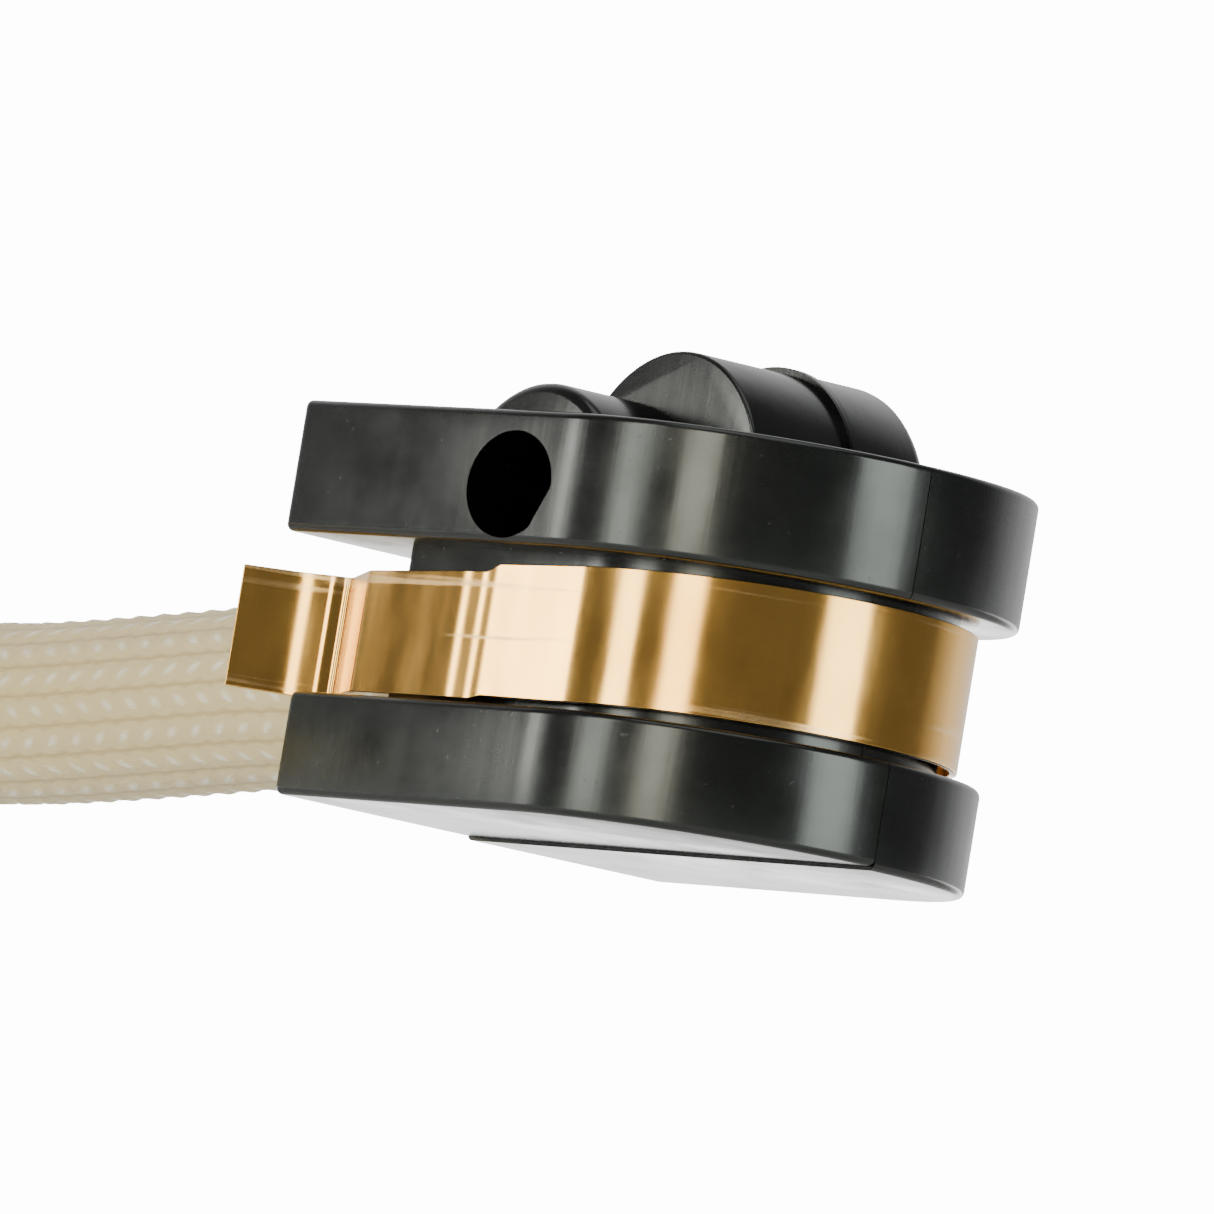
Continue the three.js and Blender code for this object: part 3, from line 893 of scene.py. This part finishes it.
def makeTip():
    c, t = cordShape, tipShape
    x0, x1 = roundX + c["tipEnd"] - c["tipLength"], roundX + c["tipEnd"]
    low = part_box("cord_tip")[0].z / mm
    profile = [(x0 + away, t["radius"] - inset) for away, inset in t["start"]]
    for x in np.linspace(x0 + t["rippleFrom"], x1 - t["rippleTo"], t["rippleRings"]):
        profile.append((x, t["radius"] - t["ripple"] * math.sin(x * t["ripplePace"]) ** 2))
    profile += [(x1 - away, t["radius"] - inset) for away, inset in t["end"]]
    tip = turnedX("cordTipSleeve", profile, -c["turnRadius"], low + t["radius"], t["steps"])
    dress(tip, tipFinish(tipLook))
    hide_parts("cord_tip")
    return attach(tip, "lock_body")


def wovenFinish(look):
    material, shader, n, place = newMaterial("wovenBand", Roughness=0.85, Sheen_Weight=0.3)
    wave = n.add("ShaderNodeTexWave", wave_type="BANDS", bands_direction="X")
    n.put(wave.inputs["Vector"], place)
    wave.inputs["Scale"].default_value = look["ribScale"]
    cross = n.noise(place, look["fuzzScale"], 2)
    mix = n.math("MULTIPLY", wave.outputs["Fac"], cross)
    n.put(shader.inputs["Base Color"], n.ramp(mix, ((0.1, look["dark"]), (0.7, look["light"]))))
    n.put(shader.inputs["Normal"], n.bump(mix, 0.6, 0.08))
    return material


def makeTie():
    low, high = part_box("hank_tie")
    middle, half = (low + high) / 2, (high - low) / 2
    t = tieShape["thickness"] * mm
    rim, wall = t * tieShape["rim"], t * tieShape["wall"]
    rings = []
    for x, grow in ((low.x, -rim), (low.x + rim, 0), (high.x - rim, 0), (high.x, -rim),
                    (high.x, -wall), (low.x, -wall)):
        rings.append([(x, y, z) for y, z in roundRectangle(middle, half, tieShape, grow)])
    rings.append(rings[0])
    tie = ringsMesh("hankTieBand", rings, closeEnds=False)
    tidyMesh(tie)
    outward(tie)
    dress(tie, wovenFinish(tieLook))
    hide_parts("hank_tie")
    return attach(tie, "lock_body")


def roundRectangle(middle, half, shape, grow):
    corner = shape["corner"] * mm
    radius = corner + grow
    points = []
    for sideY, sideZ, start in ((1, 1, 0), (-1, 1, 90), (-1, -1, 180), (1, -1, 270)):
        y = middle.y + sideY * (half.y - corner)
        z = middle.z + sideZ * (half.z - corner)
        for a in np.radians(np.linspace(start, start + 90, shape["cornerSteps"])):
            points.append((y + radius * math.cos(a), z + radius * math.sin(a)))
    return points


brass = brassFinish(brassLook)
blackFinish = blackPlastic(blackLook)
braid = braidFinish(cordLook, cordShape["lean"])

cordPiece, cordLine, cordLength = makeCord()
tipPiece = makeTip()
tiePiece = makeTie()
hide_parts("cord", "cord_hank")
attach(cordPiece, "lock_body")
print("cord, tip and tie made")

makeShells()
print("shells made")
makeClip()
print("clip made")


# Small steel parts inside

steelLooks = {
    "lock_cam": ("hardenedCam", (0.20, 0.205, 0.215), 0.38),
    "anvil_plate": ("hardenedAnvil", (0.22, 0.225, 0.23), 0.36),
    "cam_pin": ("drawnPin", (0.62, 0.63, 0.65), 0.2),
    "cam_spring": ("springWire", (0.5, 0.5, 0.52), 0.25),
    "washer_front": ("washerSteel", (0.6, 0.6, 0.62), 0.28),
    "washer_rear": ("washerSteel", (0.6, 0.6, 0.62), 0.28),
    "cord_ferrule": ("ferruleMetal", (0.72, 0.73, 0.75), 0.3),
    "dowel_1": ("dowelSteel", (0.6, 0.6, 0.62), 0.24),
    "dowel_2": ("dowelSteel", (0.6, 0.6, 0.62), 0.24),
    "dowel_3": ("dowelSteel", (0.6, 0.6, 0.62), 0.24),
}


steelGrain = dict(grainScale=2500, blotchScale=700, darker=0.6, darkShare=0.6,
                  smoother=0.06, rougher=0.12)


def steelFinish(name, colour, rough):
    if name in bpy.data.materials:
        return bpy.data.materials[name]
    material, shader, n, place = newMaterial(name, Metallic=1.0)
    g = steelGrain
    grain = n.noise(place, g["grainScale"], 3, stretch=(1, 0.08, 1))
    blotch = n.spread(n.noise(place, g["blotchScale"], 4), 0.4, 0.75, 0, g["darkShare"])
    darker = tuple(v * g["darker"] for v in colour)
    n.put(shader.inputs["Base Color"], n.blend(blotch, colour, darker))
    n.put(shader.inputs["Roughness"],
          n.spread(grain, 0.3, 0.7, rough - g["smoother"], rough + g["rougher"]))
    n.put(shader.inputs["Normal"], n.bump(grain, 0.15, 0.01))
    return material


for node, look in steelLooks.items():
    dress(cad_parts[node], steelFinish(*look))
print("steel parts dressed")


# Floor, light and surroundings

studio = dict(
    floorZ=-60.0,
    floorSize=2.4,
    floorGlow=4.5,
    glowFrom=0.2,  # metres past the lock
    glowFull=0.45,
    floorPale=((0.3, (0.84, 0.84, 0.84)), (0.7, (0.88, 0.88, 0.88))),
    floorScale=30,
    aimHeight=5.0,
    edge=dict(turn=-95, rise=4.7, distance=0.5, width=0.06, height=0.14, power=0.28,
              colour=(1.0, 0.98, 0.94)),
    left=dict(turn=-61, rise=8, distance=0.5, width=0.11, height=0.4, power=1.1,
              colour=(1.0, 0.98, 0.92)),
    middle=dict(turn=-30, rise=8, distance=0.5, width=0.13, height=0.4, power=1.3,
                colour=(1.0, 0.93, 0.8)),
    right=dict(turn=51, rise=8, distance=0.5, width=0.2, height=0.45, power=1.9,
               colour=(0.98, 1.0, 1.0)),
    top=dict(turn=-20, rise=75, distance=0.6, width=0.5, height=0.5, power=0.9,
             colour=(1.0, 1.0, 1.0)),
    behind=1.2,
    before=0.17,
    darkUntil=0.3,
    whiteFrom=0.7,
    seenWhite=14.0,
)


def makeFloor(s):
    half = s["floorSize"] / 2
    z = s["floorZ"] * mm
    corners = [(-half, -half, z), (half, -half, z), (half, half, z), (-half, half, z)]
    floor = newObject("floor", corners, [(0, 1, 2, 3)])
    material, shader, n, place = newMaterial("paleFloor", Roughness=0.7)
    n.put(shader.inputs["Base Color"], n.ramp(n.noise(place, s["floorScale"], 3), s["floorPale"]))
    shader.inputs["Emission Color"].default_value = (1, 1, 1, 1)
    far = n.add("ShaderNodeVectorMath", operation="DOT_PRODUCT")
    n.put(far.inputs[0], place)
    far.inputs[1].default_value = -axesOf(cameraSetup["azimuth"], 0)[2]
    glow = n.spread(far.outputs["Value"], s["glowFrom"], s["glowFull"], 0, s["floorGlow"])
    n.put(shader.inputs["Emission Strength"], glow)
    dress(floor, material)


def makeSoftbox(name, s):
    back = axesOf(cameraSetup["azimuth"] + s["turn"], s["rise"])[2]
    data = bpy.data.lights.new(name, "AREA")
    data.shape = "RECTANGLE"
    data.size, data.size_y = s["width"], s["height"]
    data.energy, data.color = s["power"], s["colour"]
    light = bpy.data.objects.new(name, data)
    bpy.context.collection.objects.link(light)
    light.location = back * s["distance"] + Vector((roundX * mm, 0, studio["aimHeight"] * mm))
    light.rotation_euler = back.to_track_quat("Z", "Y").to_euler()


def makeSurroundings(s):
    world = bpy.data.worlds.new("softRoom")
    bpy.context.scene.world = world
    world.use_nodes = True
    world.node_tree.nodes.clear()
    n = Nodes(world.node_tree)
    direction = n.add("ShaderNodeTexCoord").outputs["Generated"]
    away = n.add("ShaderNodeVectorMath", operation="DOT_PRODUCT")
    n.put(away.inputs[0], direction)
    back = axesOf(cameraSetup["azimuth"], 0)[2]
    away.inputs[1].default_value = -back
    level = n.spread(away.outputs["Value"], s["darkUntil"], s["whiteFrom"], s["before"], s["behind"])
    room = n.add("ShaderNodeBackground")
    room.inputs["Color"].default_value = (1, 1, 1, 1)
    n.put(room.inputs["Strength"], level)
    plain = n.add("ShaderNodeBackground")
    plain.inputs["Color"].default_value = (1, 1, 1, 1)
    plain.inputs["Strength"].default_value = s["seenWhite"]
    choose = n.add("ShaderNodeMixShader")
    n.put(choose.inputs[0], n.add("ShaderNodeLightPath").outputs["Is Camera Ray"])
    n.put(choose.inputs[1], room.outputs[0])
    n.put(choose.inputs[2], plain.outputs[0])
    n.put(n.add("ShaderNodeOutputWorld").inputs[0], choose.outputs[0])


makeFloor(studio)
for side in ("edge", "left", "middle", "right", "top"):
    makeSoftbox(side + "Softbox", studio[side])
makeSurroundings(studio)
print("studio made")
